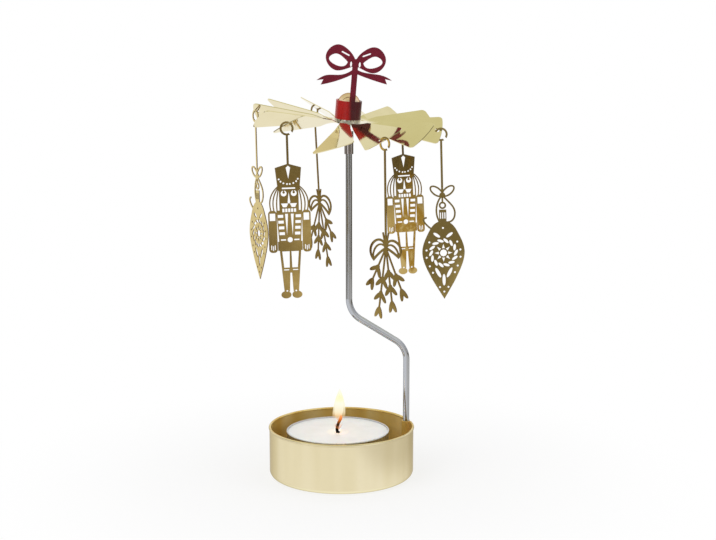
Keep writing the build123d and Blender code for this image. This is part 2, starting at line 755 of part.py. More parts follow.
# Bauble ornaments: a drop with a bow, pierced with a star, leaves and dots
for name, hook in bauble_hooks.items():
    with BuildPart() as bauble:
        with BuildSketch(hang_plane(*hook)):
            # Drop, drawn as one half
            with BuildLine():
                Spline(
                    (0, bauble_top),
                    (bauble_half_width * 0.72, bauble_top - 0.4 * bauble_shoulder),
                    (bauble_half_width, bauble_middle),
                    (bauble_half_width * 0.66, bauble_tip + 0.31 * bauble_height),
                    (0, bauble_tip),
                    tangents=((1, -0.1), (-0.6, -1)),
                )
                Line((0, bauble_tip), (0, bauble_top))
            make_face()
            mirror(about=Plane.YZ)
            # Ribbon: one strand beside the neck, one wide loop, and its end curling off the shoulder
            with BuildLine():
                Spline(
                    (0, bauble_knot),
                    (-ribbon_reach * 0.6, bauble_knot - bauble_neck * 0.35),
                    (-ribbon_reach * 0.65, bauble_knot - bauble_neck * 0.8),
                    (-neck_half * 0.8, bauble_top - ribbon),
                )
            trace(line_width=ribbon)
            with BuildLine():
                Spline(
                    (0, bauble_knot),
                    (ribbon_reach * 0.8, bauble_knot - bauble_neck * 0.3),
                    (ribbon_reach * 1.35, bauble_knot - bauble_neck * 0.6),
                    (ribbon_reach * 1.2, bauble_knot - bauble_neck * 0.95),
                    (neck_half, bauble_top - ribbon),
                )
            trace(line_width=ribbon)
            with BuildLine():
                Spline(
                    (-bauble_half_width * 0.5, bauble_top - ribbon_reach),
                    (-bauble_half_width * 0.8, bauble_top - ribbon_reach * 0.35),
                    (-bauble_half_width * 0.9, bauble_top + ribbon),
                    (-bauble_half_width * 0.75, bauble_top + 2 * ribbon),
                )
            trace(line_width=ribbon)
            # Bow loops, knot, hanger ring and the slotted neck
            for side in (-1, 1):
                with Locations((side * neck_half * 1.6, bauble_knot + neck_half * 1.1)):
                    loop_turn = side * 38
                    Ellipse(bauble_loop, bauble_loop * 0.57, rotation=loop_turn)
                    Ellipse(
                        bauble_loop - ribbon,
                        bauble_loop * 0.57 - ribbon,
                        rotation=loop_turn,
                        mode=Mode.SUBTRACT,
                    )
            with Locations((0, bauble_top - ribbon)):
                Rectangle(2 * neck_half, bauble_neck * 0.5, align=(Align.CENTER, Align.MIN))
            with Locations((0, hanger)):
                Circle(neck_half)
                Circle(neck_half - ribbon, mode=Mode.SUBTRACT)
            with Locations((0, bauble_knot)):
                Circle(neck_half * 0.8)
            with Locations((0, hanger + neck_half / 2)):
                Rectangle(ribbon, bauble_neck * 0.4, align=(Align.CENTER, Align.MIN))
            with Locations(*[(neck_half * 0.6 * k, bauble_top + bauble_neck * 0.2) for k in (-1, 0, 1)]):
                Rectangle(neck_half * 0.28, bauble_neck * 0.24, mode=Mode.SUBTRACT)
            # Star with eight rays in a wreath of slanting leaves
            with Locations((0, bauble_middle)):
                RegularPolygon(star_radius * 0.4, star_rays, mode=Mode.SUBTRACT)
                with PolarLocations(star_radius * 0.52, star_rays):
                    ray = [(0, -ray_half), (star_radius * 0.48, 0), (0, ray_half)]
                    Polygon(*ray, align=None, mode=Mode.SUBTRACT)
                with PolarLocations(wreath_radius, wreath_leaves):
                    Ellipse(wreath_leaf, wreath_leaf * 0.42, rotation=60, mode=Mode.SUBTRACT)
            # Two leaves below the neck, a fan of leaves toward the tip, dots between
            for side in (-1, 1):
                with Locations((side * 0.3 * bauble_half_width, bauble_middle + 1.45 * wreath_radius)):
                    Ellipse(1.2 * wreath_leaf, wreath_leaf * 0.45, rotation=side * 35, mode=Mode.SUBTRACT)
                with Locations((side * 0.27 * bauble_half_width, fan)):
                    Ellipse(1.7 * wreath_leaf, wreath_leaf * 0.5, rotation=side * 62, mode=Mode.SUBTRACT)
                with Locations(*[(side * x, y) for x, y in dot_places]):
                    Circle(dot_radius, mode=Mode.SUBTRACT)
            with Locations((0, fan - row_pitch)):
                Ellipse(wreath_leaf * 0.5, 1.8 * wreath_leaf, mode=Mode.SUBTRACT)
            with Locations((0, bauble_tip + row_pitch), (0, bauble_top - row_pitch)):
                Circle(dot_radius, mode=Mode.SUBTRACT)
            hook_ring(bauble_string)
        extrude(amount=sheet / 2, both=True)
    bauble.part.label = name
    export_step(bauble.part, f"parts/{name}.step")

# Mistletoe ornaments: a bunch of leafy twigs with berries, tied with a bow
sprig_knot = -ring_outer - sprig_stem
for name, hook in mistletoe_hooks.items():
    with BuildPart() as mistletoe:
        with BuildSketch(hang_plane(*hook)):
            # Bow: a drooping loop with its inner fold on each side, the left one hanging lower
            for side, droop in ((-1, sprig_bow_drop), (1, sprig_bow_drop * 0.65)):
                width = side * sprig_bow_width
                loop_corner = (width * 0.84, sprig_knot - droop)
                with BuildLine():
                    Spline(
                        (0, sprig_knot),
                        (width * 0.45, sprig_knot + sprig_bow_rise),
                        (width * 0.92, sprig_knot + sprig_bow_rise * 0.4),
                        loop_corner,
                    )
                    Spline(loop_corner, (width * 0.4, sprig_knot - droop * 0.4), (0, sprig_knot))
                trace(line_width=twig_width * 1.3)
                with BuildLine():
                    Spline(
                        (0, sprig_knot),
                        (width * 0.4, sprig_knot + sprig_bow_rise * 0.4),
                        (width * 0.68, sprig_knot),
                        loop_corner,
                    )
                trace(line_width=twig_width)
                stroke(0, sprig_knot, 90 - side * cut_spread, cut_end)
            with Locations((0, sprig_knot)):
                Circle(berry_radius)
            for off_upright, length, pairs in twigs:
                leafy_twig(0, sprig_knot, off_upright - 90, length, pairs)
            hook_ring(sprig_stem)
        extrude(amount=sheet / 2, both=True)
    mistletoe.part.label = name
    export_step(mistletoe.part, f"parts/{name}.step")
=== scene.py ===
# %% [markdown]
# # A candle carousel, dressed for a studio picture
# A tealight stands in a gold tin. Its warm air turns a wheel of twelve vanes on a needle,
# and six etched ornaments hang from the wheel. The solids come ready from the CAD model.
# This lesson gives them their finishes, adds the flame and sets up the picture.
# We begin by loading the solids, because every later step asks them where things are.

# %% Load the solids
import json
import math
import bpy
import numpy as np
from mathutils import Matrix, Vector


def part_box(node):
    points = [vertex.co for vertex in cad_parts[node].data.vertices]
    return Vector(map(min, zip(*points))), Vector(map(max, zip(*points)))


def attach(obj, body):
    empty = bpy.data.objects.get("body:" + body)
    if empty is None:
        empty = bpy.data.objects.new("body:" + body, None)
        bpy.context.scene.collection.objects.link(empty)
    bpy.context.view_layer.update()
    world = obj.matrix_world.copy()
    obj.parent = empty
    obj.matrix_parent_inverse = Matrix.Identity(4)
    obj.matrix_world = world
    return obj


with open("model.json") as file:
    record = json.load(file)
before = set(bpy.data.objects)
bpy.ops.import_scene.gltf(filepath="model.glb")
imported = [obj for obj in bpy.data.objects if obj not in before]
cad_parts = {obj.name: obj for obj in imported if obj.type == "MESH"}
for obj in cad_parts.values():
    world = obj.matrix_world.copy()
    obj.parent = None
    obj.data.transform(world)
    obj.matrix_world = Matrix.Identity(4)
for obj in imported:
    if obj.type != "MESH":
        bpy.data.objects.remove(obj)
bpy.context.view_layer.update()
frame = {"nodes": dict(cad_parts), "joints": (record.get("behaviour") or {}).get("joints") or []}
scene = bpy.context.scene
scene.view_settings.view_transform = "Standard"


def in_mm(metres):
    """Metres as millimetres, rounded for the notes that the cells print."""
    return round(metres * 1000, 2)


# %% [markdown]
# The camera comes first, because every judgement of shape depends on it. Its place was worked
# out from the two ellipses of the tin and the wax, and from the pairs of equal ornaments near
# and far. It stands about 45 cm away, a little higher than the wheel's hub, and is tilted down by
# 8.5 degrees. The focal length is known in pixels, so the lens follows from the sensor's width.

# %% Camera
picture_width = 716
focal_in_pixels = 1283.7
sensor_width = 36.0
camera_place = (0.00603, -0.45422, 0.14279)
tilt_down = 0.148

camera_data = bpy.data.cameras.new("picture_camera")
camera_data.sensor_fit = "HORIZONTAL"
camera_data.sensor_width = sensor_width
camera_data.lens = focal_in_pixels * sensor_width / picture_width
camera_data.clip_start = 0.01
camera = bpy.data.objects.new("picture_camera", camera_data)
camera.location = camera_place
camera.rotation_euler = (math.pi / 2 - tilt_down, 0, 0)
scene.collection.objects.link(camera)
scene.camera = camera
print("lens in mm:", round(camera_data.lens, 2))

# %% [markdown]
# A finish is a material made of nodes. Written out in full, each would be a page of nodes and
# links, so a few helpers do the wiring: one makes the material and sets the shader's plain values,
# one adds a node and feeds its inputs, and two more do sums on numbers and on vectors.

# %% Helpers that add nodes
def feed(material, socket, value):
    """Gives a socket its value: a constant is set, the output of another node is linked."""
    if isinstance(value, bpy.types.NodeSocket):
        material.node_tree.links.new(value, socket)
    else:
        socket.default_value = value


def connect(material, socket, value):
    """Feeds one of the shader's own sockets."""
    shader = material.node_tree.nodes["Principled BSDF"]
    feed(material, shader.inputs[socket], value)


def new_finish(name, **sockets):
    """Principled material; constants go straight onto the shader's own sockets."""
    material = bpy.data.materials.new(name)
    material.use_nodes = True
    for socket, value in sockets.items():
        connect(material, socket.replace("_", " "), value)
    return material


def add_node(material, kind, settings=None, **inputs):
    """Adds one node; its inputs go by name, or by number as i0, i1 and so on."""
    node = material.node_tree.nodes.new(kind)
    for setting, value in (settings or {}).items():
        setattr(node, setting, value)
    for key, value in inputs.items():
        numbered = key[0] == "i" and key[1:].isdigit()
        feed(material, node.inputs[int(key[1:]) if numbered else key], value)
    return node


def math_node(material, operation, first, *others, clamp=False):
    """A sum on numbers; where there are more than two, each result goes on to the next."""
    settings = {"operation": operation, "use_clamp": clamp}
    result = first
    for value in others or (0.0,):
        result = add_node(material, "ShaderNodeMath", settings, i0=result, i1=value).outputs[0]
    return result


def vector_node(material, operation, first, second=(0, 0, 0)):
    """A sum on vectors; a length and a dot product come out as a number."""
    node = add_node(material, "ShaderNodeVectorMath", {"operation": operation}, i0=first, i1=second)
    return node.outputs["Value" if operation in ("LENGTH", "DOT_PRODUCT") else "Vector"]


print("node helpers:", [helper.__name__ for helper in (new_finish, add_node, math_node, vector_node)])

# %% [markdown]
# A pattern could be painted on an unwrapped surface, but solids from CAD have no unwrapping. So
# the patterns read Object coordinates: the solids sit at the origin, these are true places on the
# object in metres, and a grain of 0.2 mm can be asked for as 0.2 mm. Noise hardly ever reaches
# 0 or 1, so a pattern is used from 0.3 to 0.7, and the rest is clamped. The mean of two patterns
# varies less, so its range is narrower.

# %% Helpers for patterns
pattern_reach = (0.3, 0.7)
mixed_reach = (0.35, 0.65)


def place_on_object(material, scale=(1, 1, 1), centre=(0, 0, 0), turn=(0, 0, 0)):
    """Object coordinates moved so that centre is zero, then scaled and turned."""
    source = add_node(material, "ShaderNodeTexCoord").outputs["Object"]
    moved = vector_node(material, "SUBTRACT", source, centre)
    return add_node(material, "ShaderNodeMapping", Vector=moved, Rotation=turn, Scale=scale).outputs[0]


def axis_of(material, axis, centre=(0, 0, 0)):
    """X, Y or Z of the place on the object, in metres from centre."""
    place = place_on_object(material, centre=centre)
    return add_node(material, "ShaderNodeSeparateXYZ", Vector=place).outputs[axis]


def grain(material, size, detail=3.0, stretch=(1, 1, 1), turn=(0, 0, 0)):
    """Noise whose features are about size metres across, longer where stretch is below 1."""
    place = place_on_object(material, scale=tuple(s / size for s in stretch), turn=turn)
    return add_node(material, "ShaderNodeTexNoise", Vector=place, Scale=1.0, Detail=detail).outputs["Fac"]


def spread(material, value, low, high, to_low=0.0, to_high=1.0):
    """Maps value from the range low to high onto to_low to to_high, smoothly and clamped."""
    settings = {"interpolation_type": "SMOOTHSTEP"}
    ends = {"i1": low, "i2": high, "i3": to_low, "i4": to_high}
    return add_node(material, "ShaderNodeMapRange", settings, i0=value, **ends).outputs[0]


def mean_of(material, first, second, share):
    """Weighted mean of two patterns: share of the first and the rest of the second."""
    weighted = math_node(material, "MULTIPLY", first, share)
    rest = math_node(material, "MULTIPLY", second, 1 - share)
    return math_node(material, "ADD", weighted, rest)


def ripple(material, height, depth):
    """Bump of the given depth in metres on the shader's normal."""
    node = add_node(material, "ShaderNodeBump", Strength=1.0, Distance=depth, Height=height)
    connect(material, "Normal", node.outputs["Normal"])


print("range of a pattern in use:", pattern_reach, "and of a mean of two:", mixed_reach)

# %% [markdown]
# Colours are written as they look on a screen, from 0 to 255, because that is how we compare them
# with a picture. A shader adds up light, so each is turned into linear light first. A ramp lays
# such colours along a pattern, and a mix joins two of them where a finish has two parts.

# %% Helpers for colours
def srgb(red, green, blue):
    """Screen colour from 0 to 255 as the linear colour that the shader takes."""
    screen = np.array([red, green, blue]) / 255
    linear = np.where(screen <= 0.04045, screen / 12.92, ((screen + 0.055) / 1.055) ** 2.4)
    return tuple(float(v) for v in linear)


def tint(material, factor, *stops):
    """Colour ramp through the stops, each a place from 0 to 1 and a linear colour."""
    node = add_node(material, "ShaderNodeValToRGB", Fac=factor)
    elements = node.color_ramp.elements
    while len(elements) < len(stops):
        elements.new(1.0)
    for element, (place, colour) in zip(elements, stops):
        element.position = place
        element.color = (*colour, 1.0)
    return node.outputs["Color"]


def shades(material, pattern, *colours, reach=pattern_reach):
    """Colour ramp of screen colours, at even steps over the pattern's range in use."""
    places = np.linspace(*reach, len(colours)).tolist()
    return tint(material, pattern, *((place, srgb(*colour)) for place, colour in zip(places, colours)))


def two_tone(material, factor, first, second):
    """Mixes two linear colours, or the outputs that carry them, by a factor."""
    ends = [c if isinstance(c, bpy.types.NodeSocket) else (*c, 1.0) for c in (first, second)]
    node = add_node(material, "ShaderNodeMix", {"data_type": "RGBA"}, i0=factor, i6=ends[0], i7=ends[1])
    return node.outputs[2]


print("middle grey of the screen as linear light:", round(srgb(128, 128, 128)[0], 3))

# %% [markdown]
# The tin is thin steel with a gold lacquer. Outside it is pale and satin, and it takes a soft
# unevenness from the press. Inside it is less metallic and a deeper, more saturated gold: that
# colour is painted reflection, the tint that gold takes where it mirrors gold in the recess. Two
# materials could share the faces out between them, but we leave the mesh alone. One finish tells
# the sides apart by the surface's direction along the radius: outward is positive, inward
# negative. The lowest millimetre, where the wall turns in, is painted lighter, a painted
# reflection of the white table below it.

# %% Tin
def dress(node, material):
    """Puts a finish on a CAD node; its mesh stays as it is."""
    for place in frame["nodes"][node].material_slots:
        place.material = material


def faces_outward(material, fade=(-0.05, 0.35)):
    """1 where the surface faces away from the upright axis through the origin, 0 where it faces
    it, from the dot product of its direction and the level direction from the axis."""
    source = add_node(material, "ShaderNodeTexCoord")
    level = vector_node(material, "MULTIPLY", source.outputs["Object"], (1, 1, 0))
    outward = vector_node(material, "NORMALIZE", level)
    along = vector_node(material, "DOT_PRODUCT", outward, source.outputs["Normal"])
    return spread(material, along, *fade)


# Painted reflection: the lowest millimetre of the outside is painted lighter, as if it mirrored the white
# table
foot_painted_reflection = srgb(240, 231, 192)
foot_reflection_fade = (0.0008, 0.0018)
inside_metal = 0.38
inside_polish = (0.08, 0.12)
outside_satin = 0.10
press_depth = 0.00003

tin_gold = new_finish("tin_gold", Specular_Tint=(0.58, 0.53, 0.43, 1.0))
press_marks = grain(tin_gold, size=0.010, detail=2.0, stretch=(1, 1, 0.08))
fine_marks = grain(tin_gold, size=0.0009, detail=2.0, stretch=(0.3, 0.3, 1))
wall_gold = shades(tin_gold, press_marks, (226, 213, 174), (231, 219, 183), (235, 224, 191))
# Inside colour: the gold with painted reflection, the deeper tint of gold mirroring gold in the recess
inside_painted_reflection_gold = shades(tin_gold, press_marks, (224, 184, 92), (238, 206, 122), (248, 228, 164))
above_foot_reflection = spread(tin_gold, axis_of(tin_gold, "Z"), *foot_reflection_fade)
outside_gold_with_foot_reflection = two_tone(tin_gold, above_foot_reflection, foot_painted_reflection, wall_gold)
outside = faces_outward(tin_gold)
connect(tin_gold, "Base Color", two_tone(tin_gold, outside, inside_painted_reflection_gold, outside_gold_with_foot_reflection))
connect(tin_gold, "Metallic", spread(tin_gold, outside, 0.0, 1.0, inside_metal, 1.0))
polish = spread(tin_gold, fine_marks, *pattern_reach, *inside_polish)
satin = math_node(tin_gold, "MULTIPLY", outside, outside_satin)
connect(tin_gold, "Roughness", math_node(tin_gold, "ADD", polish, satin))
ripple(tin_gold, press_marks, depth=press_depth)
dress("base_tin", tin_gold)

# %% [markdown]
# The stand is drawn steel wire. Drawing leaves fine lines along it. An anisotropic shader could
# smear the gloss along them, but noise stretched upright, which is the wire's own direction nearly
# everywhere, gives the tone and the gloss at once. The collar is the same steel, turned and
# cleaner, and the needle in it is hardened and a little darker.

# %% Wire, collar and needle
def drawn_steel(name, dark, light, smooth, rough):
    """Steel with lines along Z: a mean of lines and patches gives its tone and its roughness. The
    specular tint of a metal is its tone at a glancing angle, so it darkens the wire's two edges."""
    material = new_finish(name, Metallic=1.0, Specular_Tint=(0.15, 0.15, 0.15, 1.0))
    lines = grain(material, size=0.00035, detail=5.0, stretch=(1, 1, 0.03))
    patches = grain(material, size=0.006, detail=2.0, stretch=(1, 1, 0.4))
    mixed = mean_of(material, lines, patches, share=0.4)
    connect(material, "Base Color", shades(material, mixed, dark, light, reach=mixed_reach))
    connect(material, "Roughness", spread(material, mixed, *mixed_reach, rough, smooth))
    ripple(material, patches, depth=0.000002)
    return material


dress("wire_stand", drawn_steel("steel_wire", (182, 185, 191), (192, 195, 201), smooth=0.10, rough=0.14))
dress("collar", drawn_steel("collar_steel", (186, 178, 178), (200, 193, 193), smooth=0.08, rough=0.14))
dress("pivot_needle", drawn_steel("needle_steel", (96, 98, 104), (150, 152, 158), smooth=0.14, rough=0.24))

# %% [markdown]
# The tealight's cup is thin drawn aluminium. Only its lip shows, as a fine grey line round the
# wax, and a plain grey would do for that. But the whole cup comes into view when the tealight is
# lifted out of the tin, so it gets the upright lines that the drawing press leaves.

# %% Tealight cup
cup_low, cup_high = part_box("tealight_cup")
candle_x = (cup_low.x + cup_high.x) / 2

cup_aluminium = new_finish("cup_aluminium", Metallic=1.0)
cup_lines = grain(cup_aluminium, size=0.0006, detail=4.0, stretch=(1, 1, 0.08))
connect(cup_aluminium, "Base Color", shades(cup_aluminium, cup_lines, (196, 196, 198), (220, 220, 222)))
connect(cup_aluminium, "Roughness", spread(cup_aluminium, cup_lines, *pattern_reach, 0.25, 0.4))
ripple(cup_aluminium, cup_lines, depth=0.00003)
dress("tealight_cup", cup_aluminium)
print("candle middle x in mm:", in_mm(candle_x), "cup across in mm:", in_mm(cup_high.x - cup_low.x))

# %% [markdown]
# A plain white surface would look like plaster. Wax lets light in below its surface, so it gets
# subsurface scattering, and it is wet and glossier round the wick, where it melts. A warm glow,
# painted light of the flame in the wax, fades out from the wick over a few millimetres. Both follow
# the distance from the wick, which is the length of the place with its height left out.

# %% Wax
wax_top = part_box("tealight_wax")[1].z
melt_reach = (0.002, 0.016)
painted_glow_reach = (0.0005, 0.005)


def distance_from_wick(material):
    """Level distance in metres from the upright line through the candle's middle."""
    place = place_on_object(material, centre=(candle_x, 0, 0), scale=(1, 1, 0))
    return vector_node(material, "LENGTH", place)


wax = new_finish(
    "wax",
    Subsurface_Weight=0.35,
    Subsurface_Scale=0.003,
    Subsurface_Radius=(1.0, 0.7, 0.5),
    Emission_Color=(1.0, 0.62, 0.30, 1.0),
)
wax_cloud = grain(wax, size=0.0045, detail=3.0)
from_wick = distance_from_wick(wax)
connect(wax, "Base Color", shades(wax, wax_cloud, (242, 242, 240), (250, 250, 248)))
connect(wax, "Roughness", spread(wax, from_wick, *melt_reach, 0.35, 0.5))
# Painted light: the wax glows in its warm emission colour round the wick, as if lit by the flame
connect(wax, "Emission Strength", spread(wax, from_wick, *painted_glow_reach, 0.35, 0.0))
ripple(wax, wax_cloud, depth=0.00003)
dress("tealight_wax", wax)
print("wax top in mm:", in_mm(wax_top))

# %% [markdown]
# The wick is charred black and glows orange at its bent tip, where the flame holds on to it. The
# ember could be a piece of its own, but height alone decides where it glows, so one finish that
# reads the Z coordinate is enough. The foot plate below is plain tinned steel; it shows only when
# the wax is taken away.

# %% Wick and its foot
def height_of(material, low, high):
    """0 at height low and 1 at height high, in metres, from the Z coordinate."""
    return spread(material, axis_of(material, "Z"), low, high)


wick_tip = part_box("wick")[1].z
ember_foot = wick_tip - 0.0040
ember_full = wick_tip - 0.0010

wick = new_finish("wick", Roughness=0.9, Specular_IOR_Level=0.1, Emission_Color=(1.0, 0.24, 0.03, 1.0))
wick_fibre = grain(wick, size=0.0003, detail=4.0, stretch=(1, 1, 0.3))
connect(wick, "Base Color", shades(wick, wick_fibre, (4, 3, 3), (16, 13, 12), reach=(0.35, 0.7)))
connect(wick, "Emission Strength", height_of(wick, ember_foot, ember_full))
ripple(wick, wick_fibre, depth=0.0001)
dress("wick", wick)

sustainer_tin = new_finish("sustainer_tin", Metallic=1.0)
foot_marks = grain(sustainer_tin, size=0.0008, detail=3.0)
connect(sustainer_tin, "Base Color", shades(sustainer_tin, foot_marks, (150, 150, 148), (190, 190, 188)))
connect(sustainer_tin, "Roughness", spread(sustainer_tin, foot_marks, *pattern_reach, 0.3, 0.45))
dress("wick_sustainer", sustainer_tin)
print("wick stands out in mm:", in_mm(wick_tip - wax_top))

# %% [markdown]
# New surfaces are grids of points: rings of equal length, one after another. Numbering them row
# by row makes the faces a matter of counting, so no loop over points is needed. Where a grid ends
# in a tip, a fan of triangles closes the last ring.

# %% Helpers for new surfaces
def ring_faces(rings, sides):
    """Quads between rings: points k and k + 1 of one ring, then k + 1 and k of the next."""
    here = np.arange(rings - 1)[:, None] * sides + np.arange(sides)
    beside = np.arange(rings - 1)[:, None] * sides + np.roll(np.arange(sides), -1)
    return np.stack([here, beside, beside + sides, here + sides], axis=-1).reshape(-1, 4)


def pole_faces(start, sides, pole):
    """Triangles that close the ring whose first point is start: points k, k + 1 and the pole."""
    ring = start + np.arange(sides)
    return np.stack([ring, np.roll(ring, -1), np.full(sides, pole)], axis=-1)


def mesh_piece(name, points, *faces):
    """Object at the origin, with its place in its mesh, from arrays of points and faces."""
    mesh = bpy.data.meshes.new(name)
    mesh.from_pydata(points.tolist(), [], [face for group in faces for face in group.tolist()])
    piece = bpy.data.objects.new(name, mesh)
    scene.collection.objects.link(piece)
    return piece


print("faces of a drop of 3 rings of 4:", len(ring_faces(3, 4)) + 2 * len(pole_faces(0, 4, 12)))

# %% [markdown]
# The flame is light, not matter. A glowing volume would be true to that, but it is slow to render
# and noisy, so two nested drops carry the light: a pale yellow skin that lets the background
# through, and a white core inside it. Where we look through the edge of the skin alone it reads
# yellow, and in the middle the core reads white, as in a real flame. Each is a surface of
# revolution along a bent centre line.

# %% Flame shape
def flame_surface(name, bottom, top, widest, radius, bend, back=0.0, rings=46, sides=40):
    """Drop along a bent line. At share t of the height the radius is
    radius * sin(pi * t ** power) ** blunt, with power chosen so that the widest place is at share
    widest, and the centre moves sideways by bend * sin(pi / 2 * t). The line stands back in Y."""
    blunt = 0.85
    power = math.log(0.5) / math.log(widest)
    t = np.linspace(0.0, 1.0, rings + 2)[1:-1, None]
    turn = np.linspace(0.0, 2 * np.pi, sides, endpoint=False)
    width = radius * np.sin(np.pi * t**power) ** blunt
    x = candle_x + bend * np.sin(np.pi / 2 * t) + width * np.cos(turn)
    y = back + width * np.sin(turn)
    z = bottom + (top - bottom) * t + 0 * turn
    poles = [[candle_x, back, bottom], [candle_x + bend, back, top]]
    points = np.concatenate([np.stack([x, y, z], axis=-1).reshape(-1, 3), poles])
    foot_fan = pole_faces(0, sides, rings * sides)[:, ::-1]
    tip_fan = pole_faces((rings - 1) * sides, sides, rings * sides + 1)
    piece = mesh_piece(name, points, ring_faces(rings, sides), foot_fan, tip_fan)
    piece.data.polygons.foreach_set("use_smooth", np.ones(len(piece.data.polygons), dtype=bool))
    piece.visible_shadow = False
    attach(piece, "tealight")
    return piece


flame_foot = wax_top + 0.0004
flame_tip = wax_top + 0.0158
core_foot = flame_foot + 0.0034
core_tip = flame_tip - 0.0022
skin = flame_surface("flame_skin", flame_foot, flame_tip, widest=0.40, radius=0.0023, bend=0.0007)
core = flame_surface(
    "flame_core", core_foot, core_tip, widest=0.42, radius=0.0016, bend=0.0006, back=0.0005
)
print("flame height in mm:", in_mm(flame_tip - flame_foot), "core in mm:", in_mm(core_tip - core_foot))

# %% [markdown]
# Both drops only glow: they have no body colour and no gloss. Their colour and their density
# change from foot to tip, so each list below gives shares of the height with a screen colour or
# with a density, from 0 for clear to 1 for solid. Just above its foot the skin is nearly clear,
# so the wick shows through it.

# %% Flame light
def flame_light(name, low, high, colours, density):
    """Glowing skin between two heights: colour and density both follow the height."""
    dull = {"Base_Color": (0, 0, 0, 1), "Roughness": 1.0, "Specular_IOR_Level": 0.0}
    material = new_finish(name, Emission_Strength=1.0, **dull)
    rise = height_of(material, low, high)
    glow_stops = [(share, srgb(*colour)) for share, colour in colours]
    connect(material, "Emission Color", tint(material, rise, *glow_stops))
    density_stops = [(share, (amount,) * 3) for share, amount in density]
    connect(material, "Alpha", tint(material, rise, *density_stops))
    return material


skin_colours = [
    (0.0, (255, 150, 80)),
    (0.20, (255, 206, 140)),
    (0.42, (255, 240, 200)),
    (0.75, (255, 254, 226)),
    (1.0, (255, 252, 150)),
]
skin_density = [(0.0, 0.35), (0.05, 0.02), (0.18, 0.02), (0.36, 0.45), (0.8, 0.70), (1.0, 0.10)]
skin.data.materials.append(flame_light("flame_skin", flame_foot, flame_tip, skin_colours, skin_density))

core_colours = [
    (0.0, (255, 196, 120)),
    (0.25, (255, 244, 212)),
    (0.7, (255, 255, 250)),
    (1.0, (255, 254, 200)),
]
core_density = [(0.0, 0.20), (0.15, 0.75), (0.7, 0.95), (1.0, 0.30)]
core.data.materials.append(flame_light("flame_core", core_foot, core_tip, core_colours, core_density))
print("flame lit, colours in the skin:", len(skin_colours), "and in the core:", len(core_colours))

# %% [markdown]
# The wheel is one sheet of bright gold brass. Its vanes are near mirrors, so most of what we
# see on them is the room: the white ceiling on the upper faces, the red band on the vanes in
# front of it. Painted reflections would stand still while the wheel turns, so the finish is a true
# mirror. It needs only a slight roll mark, a cloudy film of handling and a very low waviness.

# %% Vane wheel, dome and eyelet
sheet_wave = 0.00001
dome_edge = (0.4, 0.25, 0.12)


def polished_gold(name, deep, bright, smooth, rough, edge=(1.0, 1.0, 1.0)):
    """Bright sheet metal: a cloudy film gives its tone, a mean of film and hairlines its roughness,
    and the film its slow waviness. Edge is its tint at a glancing angle."""
    material = new_finish(name, Metallic=1.0, Specular_Tint=(*edge, 1.0))
    film = grain(material, size=0.007, detail=3.0)
    hairlines = grain(material, size=0.0007, detail=4.0, stretch=(0.12, 1, 1), turn=(0, 0, 0.6))
    mixed = mean_of(material, film, hairlines, share=0.5)
    connect(material, "Base Color", shades(material, film, deep, bright))
    connect(material, "Roughness", spread(material, mixed, *mixed_reach, smooth, rough))
    ripple(material, film, depth=sheet_wave)
    return material


vane_gold = polished_gold("vane_gold", (226, 214, 172), (231, 220, 180), smooth=0.04, rough=0.09)
hub_gold = polished_gold(
    "hub_gold", (230, 203, 172), (238, 215, 188), smooth=0.08, rough=0.14, edge=dome_edge
)
eyelet_nickel = polished_gold("eyelet_nickel", (186, 184, 178), (206, 204, 198), smooth=0.06, rough=0.12)
dress("vane_wheel", vane_gold)
dress("hub_cap", hub_gold)
dress("hub_eyelet", eyelet_nickel)

# %% [markdown]
# The bow and the band are one strip under red lacquer. Lacquer is a clear coat over a red body,
# so the coat is set on the shader, and the body takes a slight cloud. The bow above is a deeper
# red. On the band the red carries painted light and shade: its left half is painted a bright, lit
# red, and its right half a dark red of painted shade. It is all one solid, so the place on it
# chooses the red: the height first, and then the side.

# %% Bow and band
cap_low, cap_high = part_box("hub_cap")
hub_x = (cap_low.x + cap_high.x) / 2
band_top = cap_high.z - 0.003
painted_shade_edge = (-0.0004, 0.0014)

red_lacquer = new_finish("red_lacquer", Coat_Weight=0.15, Coat_Roughness=0.08, Specular_IOR_Level=0.3)
lacquer_cloud = grain(red_lacquer, size=0.004, detail=3.0)
lacquer_peel = grain(red_lacquer, size=0.0006, detail=2.0)
# Painted light on the band's left half and painted shade on its right half; the bow keeps its own deeper
# red
band_painted_lit_red = shades(red_lacquer, lacquer_cloud, (176, 22, 22), (198, 30, 28))
band_painted_shade_red = shades(red_lacquer, lacquer_cloud, (76, 18, 28), (90, 24, 34))
bow_red = shades(red_lacquer, lacquer_cloud, (112, 14, 40), (126, 18, 46))
# The right half of the band, past this edge, takes the painted shade
painted_shade_side = spread(red_lacquer, axis_of(red_lacquer, "X", centre=(hub_x, 0, 0)), *painted_shade_edge)
band_painted_lit_and_shade = two_tone(red_lacquer, painted_shade_side, band_painted_lit_red, band_painted_shade_red)
above_band = height_of(red_lacquer, band_top, cap_high.z)
connect(red_lacquer, "Base Color", two_tone(red_lacquer, above_band, band_painted_lit_and_shade, bow_red))
connect(red_lacquer, "Roughness", spread(red_lacquer, lacquer_peel, *pattern_reach, 0.30, 0.40))
ripple(red_lacquer, lacquer_peel, depth=0.00001)
dress("bow_finial", red_lacquer)

# %% [markdown]
# The ornaments are etched out of gold sheet. Acid eats in from both faces, which leaves the cut
# edges matt and brownish while the faces stay bright. Picking the edges by hand would mean a great
# many faces. But each sheet hangs in its own upright plane, and the axis of its swing joint is
# square to that plane, so the finish compares the surface's direction with that axis: where they
# agree it is a face, and where they are square an edge.

# %% Ornaments
swing_axis = {joint["name"]: tuple(joint["axis"]) for joint in frame["joints"]}
edge_brown = srgb(112, 78, 30)
edge_matt = 0.3
face_turn = (0.35, 0.75)
face_polish = (0.06, 0.10)


